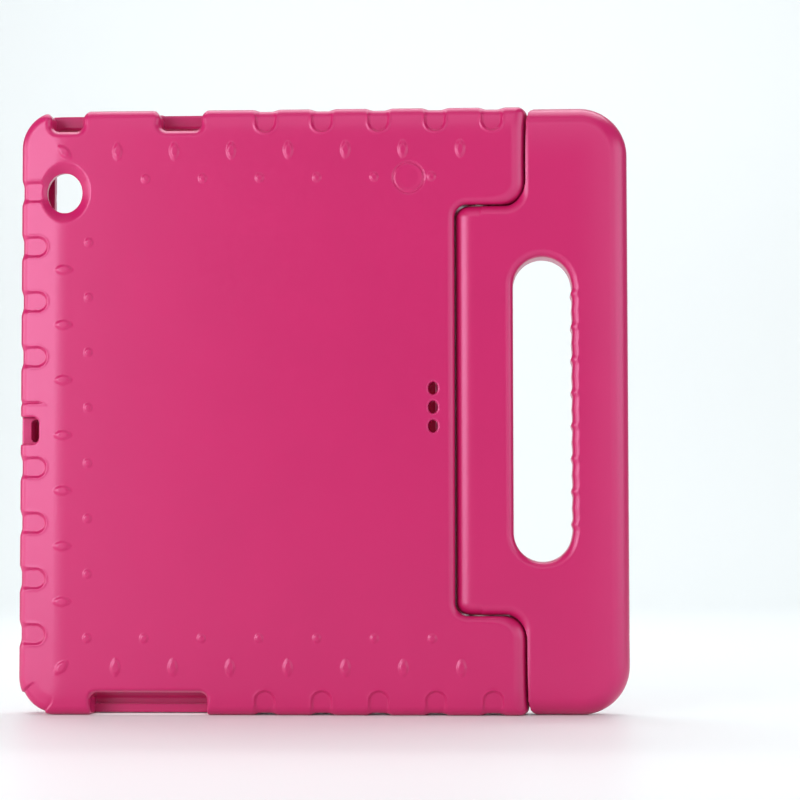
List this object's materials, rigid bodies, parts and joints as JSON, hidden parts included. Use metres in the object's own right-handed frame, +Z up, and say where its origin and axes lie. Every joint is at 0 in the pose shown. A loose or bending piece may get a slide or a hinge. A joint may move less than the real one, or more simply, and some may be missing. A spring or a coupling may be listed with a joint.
{
  "type": "kids tablet case with handle",
  "caption": "Soft foam tablet case with raised bumps, edge recesses, camera and port openings, and a hinged carrying handle that folds back as a stand.",
  "frame": {"origin": "centre of the upright case's bounding box, at its base", "axes": "+X from the shell to the handle, +Y from the back face to the screen side, +Z up, with the case standing on its short edge as in the picture"},
  "size_m": [0.257, 0.0238, 0.257],
  "materials": {
    "foam": "satin moulded foam with a very fine grain",
    "pale_plastic": "satin",
    "steel": "drawn"
  },
  "bodies": {
    "case": {"case_shell": "foam", "lobe_sleeve_lower": "pale_plastic", "lobe_sleeve_upper": "pale_plastic", "hinge_pin_lower": "steel", "hinge_pin_upper": "steel"},
    "handle": {"handle": "foam", "tongue_sleeve_lower": "pale_plastic", "tongue_sleeve_upper": "pale_plastic"}
  },
  "joints": [
    {"name": "handle_fold", "type": "hinge", "parent": "case", "child": "handle", "pos_m": [0.06575, 0, 0.1285], "axis": [0, 0, -1], "range_deg": [0, 90]}
  ]
}
